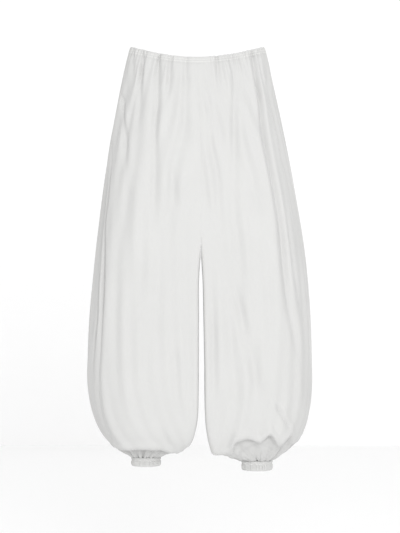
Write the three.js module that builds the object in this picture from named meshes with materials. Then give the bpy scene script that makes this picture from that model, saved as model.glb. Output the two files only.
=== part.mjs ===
// Balloon trousers in thin cotton, filled out as they are when worn: an elastic waist casing, four long panels
// joined at the centre, side and inner leg seams, and a narrow elastic cuff that gathers each full leg at the ankle.
// Millimetres. +X is the wearer's left, -Y the front and +Z up. The origin is the centre of the waist opening,
// level with the tops of the side seams.
import * as THREE from "three";

const SEAM_GAP = 0.3;
const CLOTH = 2;
const ARC_STEPS = 60;
// The columns of a panel: those that cross its face, and with those that go on round the inner side of the leg.
const FACE_COLUMNS = 24;
const COLUMNS = 34;
const { smoothstep, lerp } = THREE.MathUtils;

const BAND = { height: 14, wall: 3, swell: 1, wave: 1.2 };
const DIP_FADE = 260;

// Heights along the garment at which each panel has a ring of points, down to the widest line of the legs.
const CROTCH = -455;
const WIDEST = -775;
const ROWS = [-38, -64, -95, -130, -170, -212, -255, -300, -345, -390, -425, CROTCH, -478, -508, -545, -592, -655,
  -716, WIDEST];
const FOOT_ROWS = 9;

// The garment's outline. rightOut and leftOut are its edges seen from the front, centre is the line of the centre
// seams and then the middle of the space between the legs, and front and back are how far the cloth stands before
// and behind the side seams. ridge is where it stands out most, as a share of the width from the centre to the
// side. gap is half of the space between the legs. Where it is negative the round forms of the two legs run into
// each other, and above the crotch the centre seam lies where they meet.
const SECTIONS = [
  { z: 0, rightOut: -160, leftOut: 161, centre: 0, gap: -110, front: 86, back: 90, ridge: 0 },
  { z: -38, rightOut: -171, leftOut: 172, centre: 1, gap: -100, front: 94, back: 102, ridge: 0.02 },
  { z: -130, rightOut: -190, leftOut: 192, centre: 5, gap: -85, front: 111, back: 127, ridge: 0.12 },
  { z: -220, rightOut: -207, leftOut: 211, centre: 8, gap: -72, front: 120, back: 136, ridge: 0.26 },
  { z: -300, rightOut: -220, leftOut: 227, centre: 10, gap: -58, front: 123, back: 134, ridge: 0.38 },
  { z: -350, rightOut: -227, leftOut: 236, centre: 10, gap: -46, front: 123, back: 131, ridge: 0.43 },
  { z: -455, rightOut: -240, leftOut: 254, centre: 10, gap: -7, front: 122, back: 126, ridge: 0.46 },
  { z: -540, rightOut: -249, leftOut: 265, centre: 9, gap: 3.5, front: 120, back: 123, ridge: 0.48 },
  { z: -650, rightOut: -259, leftOut: 273, centre: 10, gap: 5.5, front: 121, back: 123, ridge: 0.5 },
  { z: -775, rightOut: -264, leftOut: 276, centre: 11, gap: 7, front: 124, back: 126, ridge: 0.5 },
];
const OUTER_ROUNDNESS = 2.2;
const INNER_ROUNDNESS = 18;
// How fast the inner sides of the legs part below the crotch, each for one millimetre down.
const PARTING = 0.02;

// The two faces of the garment: which way they look, how far the waist edge dips in the middle, and how squarely
// the balloon turns under at the ankle.
const FACES = [
  { name: "front", way: -1, dip: 32, roundness: 5 },
  { name: "back", way: 1, dip: 14, roundness: 3.4 },
];

// The two legs, by the wearer's side. The ankle's centre and radius, the top and bottom of the cuff, how squarely
// the balloon's outer and inner edges turn under, how far its underside slopes down to the cuff on each side, and
// the number and depth of the puffs that hang over the cuff.
const LEGS = [
  { name: "right", side: -1, outline: "rightOut", ankleX: -122, ankle: 34, cuffTop: -979, cuffFoot: -1001,
    outerTurn: 2.2, innerTurn: 3.8, outerSlope: 0.15, innerSlope: 0.15, puffs: 2, puffDepth: 3 },
  { name: "left", side: 1, outline: "leftOut", ankleX: 144, ankle: 36, cuffTop: -987, cuffFoot: -1011,
    outerTurn: 2.7, innerTurn: 4.4, outerSlope: 0.2, innerSlope: 0.09, puffs: 3.5, puffDepth: 7 },
];
const CUFF = { columns: 60, wall: 3, swell: 1.5, wave: 1, lip: 6 };

// The gathers: their size at the casing and cuffs, at their fullest, and how far along the cloth they run.
const WAIST_GATHERS = { atEdge: 1.2, full: 3, fullAt: -60, gone: -330 };
const ANKLE_GATHERS = { atEdge: 1, full: 3.2, fullAt: 0.8, starts: 0.1 };
// The shares of a panel next to its seams without gathers, the space round the crotch seam that lies smooth,
// and the stretch in the middle of the casing's front that has no gathers.
const SEAM_CALM = 0.07;
const CROTCH_CALM = { from: 8, to: 100 };
const FLAT = { from: -50, to: 27, fade: 14 };

// The largest folds, each a soft trough through three points of the front or back view.
const FOLDS = {
  front: [
    { x1: -126, z1: -34, x2: -134, z2: -110, x3: -147, z3: -200, depth: 5, width: 12 },
    { x1: -176, z1: -85, x2: -158, z2: -290, x3: -180, z3: -475, depth: 6, width: 14 },
    { x1: -203, z1: -290, x2: -219, z2: -600, x3: -207, z3: -925, depth: 9, width: 13 },
    { x1: -84, z1: -38, x2: -102, z2: -400, x3: -121, z3: -835, depth: 6, width: 15 },
    { x1: -28, z1: -48, x2: -35, z2: -350, x3: -42, z3: -800, depth: 4, width: 15 },
    { x1: 23, z1: -38, x2: 46, z2: -440, x3: 38, z3: -835, depth: 6, width: 15 },
    { x1: 89, z1: -34, x2: 95, z2: -440, x3: 152, z3: -860, depth: 6, width: 15 },
    { x1: 131, z1: -38, x2: 191, z2: -415, x3: 256, z3: -805, depth: 10, width: 14 },
  ],
  back: [
    { x1: -118, z1: -30, x2: -150, z2: -330, x3: -172, z3: -640, depth: 6, width: 15 },
    { x1: -208, z1: -330, x2: -222, z2: -620, x3: -205, z3: -900, depth: 8, width: 14 },
    { x1: -62, z1: -30, x2: -88, z2: -420, x3: -96, z3: -850, depth: 6, width: 15 },
    { x1: 48, z1: -30, x2: 70, z2: -380, x3: 92, z3: -760, depth: 6, width: 15 },
    { x1: 104, z1: -30, x2: 150, z2: -420, x3: 168, z3: -880, depth: 6, width: 15 },
    { x1: 140, z1: -40, x2: 200, z2: -400, x3: 244, z3: -820, depth: 9, width: 14 },
  ],
};
const FOLD_FADE = 0.16;

const COTTON = { color: 0xf0f0ef, roughness: 0.85, metalness: 0, side: THREE.DoubleSide };

// A column of the outline table at a height, on a smooth curve through its rows.
function sizeAt(name, z) {
  const last = SECTIONS.length - 2;
  const i = Math.min(last, Math.max(0, SECTIONS.findIndex((row) => row.z <= z) - 1));
  const slope = (k) => {
    const a = SECTIONS[Math.max(0, k - 1)];
    const b = SECTIONS[Math.min(last + 1, k + 1)];
    return (b[name] - a[name]) / (b.z - a.z);
  };
  const step = SECTIONS[i + 1].z - SECTIONS[i].z;
  const t = THREE.MathUtils.clamp((z - SECTIONS[i].z) / step, 0, 1);
  const t2 = t * t;
  const t3 = t2 * t;
  return (2 * t3 - 3 * t2 + 1) * SECTIONS[i][name] + (3 * t2 - 2 * t3) * SECTIONS[i + 1][name] +
    (t3 - 2 * t2 + t) * step * slope(i) + (t3 - t2) * step * slope(i + 1);
}

// A point of a rounded corner, from [1, 0] at angle 0 to [0, 1] at a right angle. A higher roundness is squarer.
function corner(angle, roundness) {
  return [Math.cos(angle), Math.sin(angle)].map((share) => (share < 1e-12 ? 0 : share ** (2 / roundness)));
}

// The distance along a line to each of its points.
function lengths(line) {
  const along = [0];
  for (let i = 1; i < line.length; i++) along.push(along[i - 1] + line[i].distanceTo(line[i - 1]));
  return along;
}

// Points evenly spaced along a line, from its start to its end.
function evenly(line, count) {
  const along = lengths(line);
  return Array.from({ length: count + 1 }, (_, k) => {
    const target = along.at(-1) * k / count;
    const i = Math.max(1, along.findIndex((length) => length >= target - 1e-9));
    const share = (target - along[i - 1]) / Math.max(along[i] - along[i - 1], 1e-9);
    return line[i - 1].clone().lerp(line[i], THREE.MathUtils.clamp(share, 0, 1));
  });
}

// A leg's ring at a height, from the side seam across the face: two rounded corners that meet at the ridge. Above
// the crotch the inner corner ends at the centre seam. From the crotch down the ring goes on round that corner and
// back along the inner side of the leg to the inner leg seam.
function ring(z, leg, face) {
  const seam = SEAM_GAP / 2;
  const centre = sizeAt("centre", z);
  const outer = sizeAt(leg.outline, z);
  const ridge = lerp(centre, outer, sizeAt("ridge", z));
  const gap = sizeAt("gap", z);
  const clear = Math.max(gap, seam + PARTING * Math.max(0, CROTCH - z));
  const inner = centre + leg.side * gap;
  const arc = (from, roundness, first, last) => Array.from({ length: ARC_STEPS + 1 }, (_, i) => {
    const [across, out] = corner(lerp(first, last, smoothstep(i / ARC_STEPS, 0, 1)), roundness);
    return new THREE.Vector3(lerp(ridge, from, across), face.way * lerp(seam, sizeAt(face.name, z), out), z);
  });
  const reach = Math.max(0, leg.side * (ridge - centre) - clear) / Math.abs(ridge - inner);
  const end = Math.acos(Math.min(1, reach) ** (INNER_ROUNDNESS / 2));
  const turn = Math.max(end, Math.PI / 4);
  const across = [
    ...arc(outer, OUTER_ROUNDNESS, 0, Math.PI / 2), ...arc(inner, INNER_ROUNDNESS, Math.PI / 2, turn)];
  if (z > CROTCH) {
    across.at(-1).x = centre + leg.side * seam;
    return evenly(across, FACE_COLUMNS);
  }
  const back = [
    ...arc(inner, INNER_ROUNDNESS, turn, end), new THREE.Vector3(centre + leg.side * clear, face.way * seam, z)];
  return [...evenly(across, FACE_COLUMNS), ...evenly(back, COLUMNS - FACE_COLUMNS).slice(1)];
}

// A row of a panel. The waist edge dips in the middle of the front and back, and the rows below it follow it less
// and less.
function panelRow(z, leg, face) {
  const centre = sizeAt("centre", z);
  return ring(z, leg, face).map((point) => {
    const across = Math.min(1, Math.abs((point.x - centre) / (sizeAt(leg.outline, z) - centre)));
    return point.setZ(z - face.dip * (1 - smoothstep(-z, 0, DIP_FADE)) * (1 - across ** 2));
  });
}

// The points of a panel without its gathers and folds: rows from the casing down to the widest line, and then
// one curve for each column that turns under and in to the cuff.
function panelForm(leg, face) {
  const top = -BAND.height - SEAM_GAP;
  const rows = [top, ...ROWS].map((z) => panelRow(z, leg, face));
  const widest = rows.at(-1);
  const columns = widest.map((start, j) => {
    const u = j / COLUMNS;
    const squareness = u < 0.5
      ? lerp(leg.outerTurn, face.roundness, smoothstep(u, 0.1, 0.42))
      : lerp(face.roundness, leg.innerTurn, smoothstep(u, 0.6, 1));
    const slope = lerp(leg.outerSlope, leg.innerSlope, u);
    const end = new THREE.Vector3(
      leg.ankleX + leg.side * leg.ankle * Math.cos(Math.PI * u),
      face.way * Math.max(SEAM_GAP / 2, leg.ankle * Math.sin(Math.PI * u)),
      leg.cuffTop,
    );
    const line = Array.from({ length: 2 * ARC_STEPS + 1 }, (_, i) => {
      const [out, down] = corner(Math.PI / 2 * smoothstep(i / (2 * ARC_STEPS), 0, 1), squareness);
      const point = end.clone().lerp(start, out);
      return point.setZ(lerp(WIDEST, leg.cuffTop, (1 - slope) * down + slope * (1 - out)));
    });
    return evenly(line, FOOT_ROWS);
  });
  for (let i = 1; i <= FOOT_ROWS; i++) rows.push(columns.map((line) => line[i]));
  return rows;
}

// Outward directions over the rows of a panel. Along each seam they stay in the seam's own plane, so that the
// panels on its two sides keep their gap.
function outward(rows, leg, face) {
  return rows.map((row, i) => row.map((point, j) => {
    const down = (rows[i + 1]?.[j] ?? point).clone().sub(rows[i - 1]?.[j] ?? point);
    const along = (row[j + 1] ?? point).clone().sub(row[j - 1] ?? point);
    const normal = down.cross(along).multiplyScalar(leg.side * face.way).normalize();
    const centreSeam = j >= FACE_COLUMNS && point.z > CROTCH - 1;
    if (j === 0 || j === COLUMNS) normal.y = 0;
    if (centreSeam) normal.x = leg.side * Math.min(0, leg.side * normal.x);
    if (i === 0 || i === rows.length - 1) normal.z = 0;
    return normal.normalize();
  }));
}

// How far a fold presses the cloth in at a point.
function foldDepth(point, fold) {
  const t = (fold.z1 - point.z) / (fold.z1 - fold.z3);
  if (t < 0 || t > 1) return 0;
  const middle = (fold.z1 - fold.z2) / (fold.z1 - fold.z3);
  const bend = (fold.x2 - lerp(fold.x1, fold.x3, middle)) / (middle * (1 - middle));
  const x = lerp(fold.x1, fold.x3, t) + bend * t * (1 - t);
  const fade = smoothstep(t, 0, FOLD_FADE) * smoothstep(1 - t, 0, FOLD_FADE);
  return fold.depth * fade * Math.exp(-(((point.x - x) / fold.width) ** 2));
}

// How freely the cloth gathers at a share of a panel's width, from 0 at its seams to 1.
function freedom(u) {
  return smoothstep(u, 0, SEAM_CALM) * smoothstep(1 - u, 0, SEAM_CALM);
}

// How fully the cloth is gathered on to the casing at a point, from 0 on the flat stretch of its front to 1.
function gathered(point) {
  if (point.y > 0) return 1;
  return smoothstep(Math.abs(point.x - (FLAT.from + FLAT.to) / 2), (FLAT.to - FLAT.from) / 2,
    (FLAT.to - FLAT.from) / 2 + FLAT.fade);
}

// How far the cloth stands out from its plain form, with its gathers at the waist and ankle, its puffs and folds.
function relief(point, i, j, row, leg, face) {
  const u = j / COLUMNS;
  const fromCrotch = Math.hypot(point.x - sizeAt("centre", CROTCH), point.z - CROTCH);
  const calm = freedom(j / (row.length - 1)) * smoothstep(fromCrotch, CROTCH_CALM.from, CROTCH_CALM.to);
  const zigzag = j % 2 ? -1 : 1;
  const foot = Math.max(0, (i - ROWS.length) / FOOT_ROWS);
  const waist = WAIST_GATHERS;
  const ankle = ANKLE_GATHERS;
  const atWaist = lerp(waist.atEdge, waist.full, smoothstep(-point.z, BAND.height, -waist.fullAt)) *
    (1 - smoothstep(-point.z, -waist.fullAt, -waist.gone)) * gathered(point);
  const atAnkle = smoothstep(foot, ankle.starts, ankle.fullAt) *
    lerp(ankle.full, ankle.atEdge, smoothstep(foot, ankle.fullAt, 1));
  const puff = leg.puffDepth * Math.sin(Math.PI * Math.min(1, foot * 1.15)) ** 2 *
    Math.cos(2 * Math.PI * leg.puffs * (u - 0.5));
  const pressed = FOLDS[face.name].reduce((sum, fold) => sum + foldDepth(point, fold), 0);
  return calm * (zigzag * (atWaist + atAnkle) + puff - pressed);
}

// A closed solid from its corners and triangles, turned to face out if it came out inside out.
function solid(name, corners, triangles) {
  const volume = triangles.reduce((sum, [a, b, c]) => sum + corners[a].dot(corners[b].clone().cross(corners[c])), 0);
  const faces = volume < 0 ? triangles.map(([a, b, c]) => [a, c, b]) : triangles;
  const geometry = new THREE.BufferGeometry().setFromPoints(corners).setIndex(faces.flat());
  geometry.computeVertexNormals();
  const mesh = new THREE.Mesh(geometry, new THREE.MeshStandardMaterial(COTTON));
  mesh.name = name;
  return mesh;
}

// A cloth wall between two grids of points, closed round its edges. Rows above the crotch are shorter than the rest.
function wall(name, outer, inner) {
  const corners = [...outer.flat(), ...inner.flat()];
  const layer = corners.length / 2;
  const triangles = [];
  const edges = new Map();
  let start = 0;
  for (let i = 0; i < outer.length - 1; i++) {
    const below = start + outer[i].length;
    for (let j = 0; j < outer[i].length - 1; j++) {
      const quad = [start + j, below + j, below + j + 1, start + j + 1];
      const [a, b, c, d] = quad;
      triangles.push([a, b, c], [a, c, d], [layer + a, layer + c, layer + b], [layer + a, layer + d, layer + c]);
      quad.forEach((from, k) => {
        const to = quad[(k + 1) % 4];
        if (!edges.delete(`${to} ${from}`)) edges.set(`${from} ${to}`, [from, to]);
      });
    }
    start = below;
  }
  for (const [from, to] of edges.values()) {
    triangles.push([to, from, layer + from], [to, layer + from, layer + to]);
  }
  return solid(name, corners, triangles);
}

// A closed band from rings of points that go round its section, each joined to the next.
function band(name, rings) {
  const count = rings[0].length;
  const triangles = [];
  rings.forEach((_, k) => {
    const next = (k + 1) % rings.length;
    for (let j = 0; j < count; j++) {
      const [a, b] = [k * count + j, k * count + (j + 1) % count];
      const [c, d] = [next * count + (j + 1) % count, next * count + j];
      triangles.push([a, b, c], [a, c, d]);
    }
  });
  return solid(name, rings.flat(), triangles);
}

function panel(leg, face) {
  const form = panelForm(leg, face);
  const normals = outward(form, leg, face);
  const shifted = (by) => form.map((row, i) => row.map((point, j) =>
    point.clone().addScaledVector(normals[i][j], relief(point, i, j, row, leg, face) - by)));
  return wall(`${face.name}_${leg.name}`, shifted(0), shifted(CLOTH));
}

// The whole ring round the waist at a height, moved out by a distance, with the casing's gathers.
function waistRing(z, out) {
  const [right, left] = LEGS;
  const [front, back] = FACES;
  const quarter = (leg, face) => panelRow(z, leg, face);
  const ring = [
    ...quarter(left, front).slice(0, -1), ...quarter(right, front).reverse().slice(0, -1),
    ...quarter(right, back).slice(0, -1), ...quarter(left, back).reverse().slice(0, -1),
  ];
  return ring.map((point, k) => {
    const before = ring.at(k - 1);
    const after = ring[(k + 1) % ring.length];
    const normal = new THREE.Vector3(before.y - after.y, after.x - before.x, 0).normalize();
    const wave = BAND.wave * freedom(k % FACE_COLUMNS / FACE_COLUMNS) * gathered(point);
    return point.clone().addScaledVector(normal, out + wave * (k % 2 ? -1 : 1));
  });
}

function waistband() {
  const foot = -BAND.height;
  return band("waistband", [
    waistRing(0, 0), waistRing(foot / 2, BAND.swell), waistRing(foot, 0),
    waistRing(foot, -BAND.wall), waistRing(0, -BAND.wall),
  ]);
}

// An ankle cuff: the elastic casing swells out below the seam where the leg is gathered on to it.
function cuff(leg) {
  const ring = (z, out) => Array.from({ length: CUFF.columns }, (_, k) => {
    const angle = 2 * Math.PI * k / CUFF.columns;
    const radius = leg.ankle + out + CUFF.wave * (k % 2 ? -1 : 1);
    return new THREE.Vector3(leg.ankleX + radius * Math.cos(angle), radius * Math.sin(angle), z);
  });
  const top = leg.cuffTop - SEAM_GAP;
  return band(`cuff_${leg.name}`, [
    ring(top, 0), ring(top - CUFF.lip, CUFF.swell), ring(leg.cuffFoot + CUFF.lip, CUFF.swell), ring(leg.cuffFoot, 0),
    ring(leg.cuffFoot, -CUFF.wall), ring(top, -CUFF.wall),
  ]);
}

const trousers = new THREE.Group();
trousers.name = "balloon_trousers";
trousers.add(waistband());
for (const leg of LEGS) {
  for (const face of FACES) trousers.add(panel(leg, face));
  trousers.add(cuff(leg));
}

export default trousers;
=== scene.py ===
"""Balloon trousers in thin white cotton, filled out as they are when worn and held at the waist.

Four gathered panels, an elastic waist casing, two elastic ankle cuffs and their stitching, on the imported
model's frame. Lengths in the code are millimetres, as in the part's source, and become metres where a mesh is
made. +X is the wearer's left, -Y the front and +Z up, and the origin is the centre of the waist opening.
"""
import math
from typing import NamedTuple

import bpy
import numpy as np
from bpy.props import FloatProperty, FloatVectorProperty, IntProperty, PointerProperty
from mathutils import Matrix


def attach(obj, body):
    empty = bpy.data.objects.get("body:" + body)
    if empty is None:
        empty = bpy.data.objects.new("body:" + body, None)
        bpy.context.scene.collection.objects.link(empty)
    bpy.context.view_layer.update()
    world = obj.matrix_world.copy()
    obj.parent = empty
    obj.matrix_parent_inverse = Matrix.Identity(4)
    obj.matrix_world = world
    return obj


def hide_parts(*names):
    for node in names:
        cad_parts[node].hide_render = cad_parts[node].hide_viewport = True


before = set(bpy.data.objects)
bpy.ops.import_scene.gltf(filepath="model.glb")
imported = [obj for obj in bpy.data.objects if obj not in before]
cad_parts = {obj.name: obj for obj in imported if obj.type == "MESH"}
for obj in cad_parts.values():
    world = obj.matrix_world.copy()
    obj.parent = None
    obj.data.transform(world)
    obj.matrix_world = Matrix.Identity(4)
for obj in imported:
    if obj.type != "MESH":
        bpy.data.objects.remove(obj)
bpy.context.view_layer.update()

bl_info = {
    "name": "Balloon Trousers",
    "version": (1, 0, 0),
    "blender": (4, 5, 0),
    "location": "3D View > Sidebar > Trousers",
    "description": "Builds gathered cotton balloon trousers and the studio they stand in",
    "category": "Add Mesh",
}

MM = 0.001

SEAM_GAP = 0.3  # between the solids of pieces that are sewn together
SEWN_GAP = 0.04  # between their drawn edges, so that they look sewn
CASING_HEIGHT = 14.0
CROTCH = -455.0
WIDEST = -775.0


# Form

class Section(NamedTuple):
    """The garment's outline at a height.

    gap is half of the space between the legs, and negative where they merge.
    """
    z: float
    right_out: float
    left_out: float
    centre: float
    gap: float
    front: float
    back: float
    ridge: float


SECTIONS = (
    Section(0, -160, 161, 0, -110, 86, 90, 0.0),
    Section(-38, -171, 172, 1, -100, 94, 102, 0.02),
    Section(-130, -190, 192, 5, -85, 111, 127, 0.12),
    Section(-220, -207, 211, 8, -72, 120, 136, 0.26),
    Section(-300, -220, 227, 10, -58, 123, 134, 0.38),
    Section(-350, -227, 236, 10, -46, 123, 131, 0.43),
    Section(-455, -240, 254, 10, -7, 122, 126, 0.46),
    Section(-540, -249, 265, 9, 3.5, 120, 123, 0.48),
    Section(-650, -259, 273, 10, 5.5, 121, 123, 0.5),
    Section(-775, -264, 276, 11, 7, 124, 126, 0.5),
)


class Face(NamedTuple):
    """A face of the garment: the way it looks, the dip of its waist edge and how squarely it turns under."""
    name: str
    way: int
    dip: float
    squareness: float


class Leg(NamedTuple):
    """A leg, by the wearer's side: its ankle, its cuff, and how the balloon turns under at each edge."""
    name: str
    side: int
    outline: str
    ankle_x: float
    ankle: float
    cuff_top: float
    cuff_foot: float
    outer_turn: float
    inner_turn: float
    outer_slope: float
    inner_slope: float


FACES = (Face("front", -1, 32, 5.0), Face("back", 1, 14, 3.4))
LEGS = (
    Leg("right", -1, "right_out", -122, 34, -979, -1001, 2.2, 3.8, 0.15, 0.15),
    Leg("left", 1, "left_out", 144, 36, -987, -1011, 2.7, 4.4, 0.2, 0.09),
)
OUTER_ROUNDNESS = 2.2  # the power of a section's curve: 2 is an ellipse, and a high one is nearly square
INNER_ROUNDNESS = 34
PARTING = 0.02  # how fast the inner seams part below the crotch
DIP_FADE = 260.0  # how far down the dip of the waist edge still bends the rows
ARC_STEPS = 60
FACE_SHARE = 24 / 34  # of a panel's columns, the share that lies across its face
ROW_CROWDING = 0.2  # how much closer together the rows are at the waist
OUTER_TURN = (0.1, 0.42)  # shares of a panel's width over which its turn under changes, at each side
INNER_TURN = (0.6, 1.0)


def smooth(value, low, high):
    """A smooth step from 0 at low to 1 at high."""
    t = np.clip((value - low) / (high - low), 0, 1)
    return t * t * (3 - 2 * t)


def lerp(a, b, t):
    """The value at a share t of the way from a to b."""
    return a + (b - a) * t


def hermite(t, start, end, leaving, arriving):
    """A smooth curve from start to end while t goes from 0 to 1, with its slopes there."""
    return ((2 * t**3 - 3 * t**2 + 1) * start + (3 * t**2 - 2 * t**3) * end
            + (t**3 - 2 * t**2 + t) * leaving + (t**3 - t**2) * arriving)


def travelled(points, axis):
    """Distances along an axis of a grid of points, from 0 at its start."""
    steps = np.linalg.norm(np.diff(points, axis=axis), axis=-1)
    return np.insert(np.cumsum(steps, axis=axis), 0, 0, axis=axis)


def size_at(name, z):
    """A column of the outline table at heights z, on a smooth curve through its rows."""
    heights = np.array([row.z for row in SECTIONS], float)
    values = np.array([getattr(row, name) for row in SECTIONS], float)
    slopes = np.empty_like(values)
    slopes[1:-1] = (values[2:] - values[:-2]) / (heights[2:] - heights[:-2])
    slopes[0] = (values[1] - values[0]) / (heights[1] - heights[0])
    slopes[-1] = (values[-1] - values[-2]) / (heights[-1] - heights[-2])
    z = np.asarray(z, float)
    i = np.clip(np.searchsorted(-heights, -z, side="left") - 1, 0, len(values) - 2)
    step = heights[i + 1] - heights[i]
    t = np.clip((z - heights[i]) / step, 0, 1)
    return hermite(t, values[i], values[i + 1], step * slopes[i], step * slopes[i + 1])


def corner(angle, roundness):
    """A rounded corner, from (1, 0) at angle 0 to (0, 1) at a right angle."""
    return tuple(np.where(share < 1e-12, 0, np.maximum(share, 0) ** (2 / roundness))
                 for share in (np.cos(angle), np.sin(angle)))


def evenly(lines, count):
    """Points evenly spaced along each line, from its start to its end. lines is (lines, points, 3)."""
    share = np.linspace(0, 1, count + 1)
    spaced = [[np.interp(share * along[-1], along, line[:, k]) for k in range(3)]
              for along, line in zip(travelled(lines, 1), lines)]
    return np.array(spaced).transpose(0, 2, 1)


def ring_points(z, across_count, back_count, leg, face):
    """The leg's rings at heights z, each from the side seam across the face.

    Above the crotch a ring ends at the centre seam, and its other points stay there. From the crotch down it
    goes on round the corner and back along the inner side of the leg to the inner leg seam.
    """
    z = np.asarray(z, float)
    seam = SEWN_GAP / 2
    outer, centre = size_at(leg.outline, z), size_at("centre", z)
    gap, depth = size_at("gap", z), size_at(face.name, z)
    ridge = lerp(centre, outer, size_at("ridge", z))
    clear = np.maximum(gap, seam + PARTING * np.maximum(0, CROTCH - z))
    inner = centre + leg.side * gap
    reach = np.maximum(0, leg.side * (ridge - centre) - clear) / np.abs(ridge - inner)
    end = np.arccos(np.minimum(1, reach) ** (INNER_ROUNDNESS / 2))
    turn = np.maximum(end, math.pi / 4)
    spread = smooth(np.linspace(0, 1, ARC_STEPS + 1), 0, 1)[None, :]

    def arc(start, roundness, first, last):
        across, out = corner(lerp(first[:, None], last[:, None], spread), roundness)
        x = lerp(ridge[:, None], start[:, None], across)
        y = face.way * lerp(seam, depth[:, None], out)
        return np.stack([x, y, np.broadcast_to(z[:, None], x.shape)], axis=2)

    right_angle = np.full_like(z, math.pi / 2)
    across = np.concatenate([
        arc(outer, OUTER_ROUNDNESS, np.zeros_like(z), right_angle),
        arc(inner, INNER_ROUNDNESS, right_angle, turn)], axis=1)
    above = z > CROTCH
    across[above, -1, 0] = centre[above] + leg.side * seam
    last = np.stack([centre + leg.side * clear, np.full_like(z, face.way * seam), z], axis=1)[:, None]
    back = np.concatenate([arc(inner, INNER_ROUNDNESS, turn, end), last], axis=1)
    grid = np.concatenate([evenly(across, across_count), evenly(back, back_count)[:, 1:]], axis=1)
    grid[above, across_count + 1:] = grid[above, across_count:across_count + 1]
    return grid


def panel_rows(heights, across_count, back_count, leg, face):
    """The surface at heights, as a grid of (heights, columns, 3). The waist edge dips in the middle."""
    z = np.asarray(heights, float)[:, None]
    points = ring_points(z[:, 0], across_count, back_count, leg, face)
    centre = size_at("centre", z)
    across = np.clip(np.abs((points[..., 0] - centre) / (size_at(leg.outline, z) - centre)), 0, 1)
    points[..., 2] = z - face.dip * (1 - smooth(-z, 0, DIP_FADE)) * (1 - across**2)
    return points


def panel_form(above_rows, below_rows, foot_rows, across_count, back_count, leg, face):
    """A panel without gathers and folds: rows to the widest line, then curves that turn in to the cuff."""
    share = np.linspace(0, 1, above_rows + 1)
    heights = np.concatenate([
        lerp(-CASING_HEIGHT - SEAM_GAP, CROTCH, lerp(share, share**2, ROW_CROWDING)),
        np.linspace(CROTCH, WIDEST, below_rows + 1)[1:]])
    upper = panel_rows(heights, across_count, back_count, leg, face)
    start = upper[-1]
    u = np.linspace(0, 1, len(start))
    squareness = np.where(
        u < 0.5,
        lerp(leg.outer_turn, face.squareness, smooth(u, *OUTER_TURN)),
        lerp(face.squareness, leg.inner_turn, smooth(u, *INNER_TURN)))
    slope = lerp(leg.outer_slope, leg.inner_slope, u)
    end = np.stack([
        leg.ankle_x + leg.side * leg.ankle * np.cos(math.pi * u),
        face.way * np.maximum(SEWN_GAP / 2, leg.ankle * np.sin(math.pi * u)),
        np.full_like(u, leg.cuff_top)], axis=1)
    angle = math.pi / 2 * smooth(np.linspace(0, 1, 2 * ARC_STEPS + 1), 0, 1)
    out, down = corner(angle[None, :], squareness[:, None])
    line = lerp(end[:, None, :], start[:, None, :], out[..., None])
    line[..., 2] = lerp(WIDEST, leg.cuff_top, (1 - slope)[:, None] * down + slope[:, None] * (1 - out))
    return np.concatenate([upper, evenly(line, foot_rows)[:, 1:].transpose(1, 0, 2)])


def outward(grid, leg, face):
    """Unit directions out of a grid of points."""
    down = np.gradient(grid, axis=0)
    along = np.gradient(grid, axis=1)
    normal = np.cross(down, along) * leg.side * face.way
    return normal / np.maximum(np.linalg.norm(normal, axis=2, keepdims=True), 1e-9)


# Folds and gathers

class Fold(NamedTuple):
    """A crease: its path as (x, z) points of the front view, its depth and width, and the swell beside it.

    beyond is how far the cloth between the crease and the side seam lies in.
    """
    path: tuple
    depth: float
    width: float
    swell: float
    beyond: float = 0


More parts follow.
